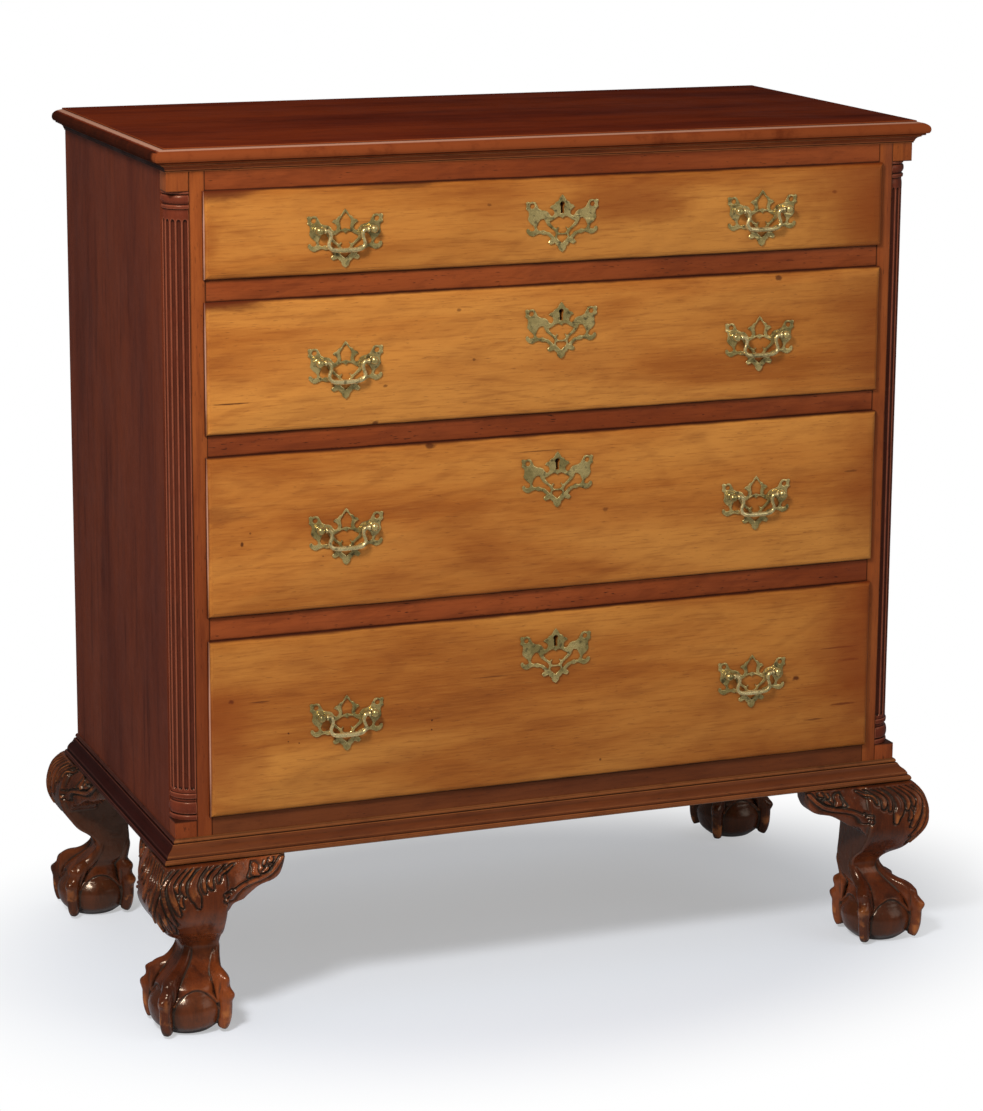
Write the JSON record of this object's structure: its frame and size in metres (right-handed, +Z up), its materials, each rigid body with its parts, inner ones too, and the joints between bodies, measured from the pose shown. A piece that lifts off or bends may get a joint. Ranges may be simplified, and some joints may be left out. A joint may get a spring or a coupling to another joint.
{
  "type": "chest of drawers",
  "caption": "Wooden chest of drawers on carved cabriole legs with ball-and-claw feet, with fluted corner columns, lipped drawer fronts and swinging brass pulls.",
  "frame": {"origin": "on the floor, under the middle of the legs", "axes": "+Z up; the drawers open towards -Y; +X to the right of someone who faces the drawers"},
  "size_m": [1.014, 0.54, 1.0413],
  "materials": {
    "cherry": "satin, old varnish, red-brown",
    "dark_cherry": "satin, old varnish, dark red-brown",
    "maple": "satin, old varnish, golden brown",
    "poplar": "bare, dry, aged",
    "brass": "aged, dark in the recesses, bright on the edges"
  },
  "bodies": {
    "case": {"top_board": "dark_cherry", "top_moulding": "cherry", "case_side_left": "dark_cherry", "case_side_right": "dark_cherry", "case_back": "poplar", "case_bottom": "poplar", "bottom_rail": "cherry", "top_rail": "cherry", "divider_1": "cherry", "divider_2": "cherry", "divider_3": "cherry", "corner_post_left": "cherry", "corner_post_right": "cherry", "quarter_column_left": "dark_cherry", "quarter_column_right": "dark_cherry", "base_moulding": "cherry", "leg_front_left": "dark_cherry", "leg_front_right": "dark_cherry", "leg_back_left": "dark_cherry", "leg_back_right": "dark_cherry"},
    "drawer_1": {"drawer_1_front": "maple", "drawer_1_side_left": "poplar", "drawer_1_side_right": "poplar", "drawer_1_back": "poplar", "drawer_1_bottom": "poplar", "drawer_1_pull_plate_left": "brass", "drawer_1_pull_plate_right": "brass", "drawer_1_escutcheon": "brass"},
    "drawer_2": {"drawer_2_front": "maple", "drawer_2_side_left": "poplar", "drawer_2_side_right": "poplar", "drawer_2_back": "poplar", "drawer_2_bottom": "poplar", "drawer_2_pull_plate_left": "brass", "drawer_2_pull_plate_right": "brass", "drawer_2_escutcheon": "brass"},
    "drawer_3": {"drawer_3_front": "maple", "drawer_3_side_left": "poplar", "drawer_3_side_right": "poplar", "drawer_3_back": "poplar", "drawer_3_bottom": "poplar", "drawer_3_pull_plate_left": "brass", "drawer_3_pull_plate_right": "brass", "drawer_3_escutcheon": "brass"},
    "drawer_4": {"drawer_4_front": "maple", "drawer_4_side_left": "poplar", "drawer_4_side_right": "poplar", "drawer_4_back": "poplar", "drawer_4_bottom": "poplar", "drawer_4_pull_plate_left": "brass", "drawer_4_pull_plate_right": "brass", "drawer_4_escutcheon": "brass"},
    "drawer_1_bail_left": {"drawer_1_bail_left": "brass"},
    "drawer_1_bail_right": {"drawer_1_bail_right": "brass"},
    "drawer_2_bail_left": {"drawer_2_bail_left": "brass"},
    "drawer_2_bail_right": {"drawer_2_bail_right": "brass"},
    "drawer_3_bail_left": {"drawer_3_bail_left": "brass"},
    "drawer_3_bail_right": {"drawer_3_bail_right": "brass"},
    "drawer_4_bail_left": {"drawer_4_bail_left": "brass"},
    "drawer_4_bail_right": {"drawer_4_bail_right": "brass"}
  },
  "joints": [
    {"name": "drawer_4_slide", "type": "slide", "parent": "case", "child": "drawer_4", "axis": [0, -1, 0], "range_m": [0, 0.32]},
    {"name": "drawer_3_slide", "type": "slide", "parent": "case", "child": "drawer_3", "axis": [0, -1, 0], "range_m": [0, 0.32]},
    {"name": "drawer_2_slide", "type": "slide", "parent": "case", "child": "drawer_2", "axis": [0, -1, 0], "range_m": [0, 0.32]},
    {"name": "drawer_1_slide", "type": "slide", "parent": "case", "child": "drawer_1", "axis": [0, -1, 0], "range_m": [0, 0.32]},
    {"name": "drawer_4_bail_left_swing", "type": "hinge", "parent": "drawer_4", "child": "drawer_4_bail_left", "pos_m": [-0.26198, -0.242, 0.36651], "axis": [-1, 0, 0], "range_deg": [0, 170]},
    {"name": "drawer_4_bail_right_swing", "type": "hinge", "parent": "drawer_4", "child": "drawer_4_bail_right", "pos_m": [0.26499, -0.242, 0.36651], "axis": [-1, 0, 0], "range_deg": [0, 170]},
    {"name": "drawer_3_bail_left_swing", "type": "hinge", "parent": "drawer_3", "child": "drawer_3_bail_left", "pos_m": [-0.26198, -0.242, 0.59201], "axis": [-1, 0, 0], "range_deg": [0, 170]},
    {"name": "drawer_3_bail_right_swing", "type": "hinge", "parent": "drawer_3", "child": "drawer_3_bail_right", "pos_m": [0.26499, -0.242, 0.59201], "axis": [-1, 0, 0], "range_deg": [0, 170]},
    {"name": "drawer_2_bail_left_swing", "type": "hinge", "parent": "drawer_2", "child": "drawer_2_bail_left", "pos_m": [-0.26198, -0.242, 0.78901], "axis": [-1, 0, 0], "range_deg": [0, 170]},
    {"name": "drawer_2_bail_right_swing", "type": "hinge", "parent": "drawer_2", "child": "drawer_2_bail_right", "pos_m": [0.26499, -0.242, 0.78901], "axis": [-1, 0, 0], "range_deg": [0, 170]},
    {"name": "drawer_1_bail_left_swing", "type": "hinge", "parent": "drawer_1", "child": "drawer_1_bail_left", "pos_m": [-0.26198, -0.242, 0.94181], "axis": [-1, 0, 0], "range_deg": [0, 170]},
    {"name": "drawer_1_bail_right_swing", "type": "hinge", "parent": "drawer_1", "child": "drawer_1_bail_right", "pos_m": [0.26499, -0.242, 0.94181], "axis": [-1, 0, 0], "range_deg": [0, 170]}
  ]
}
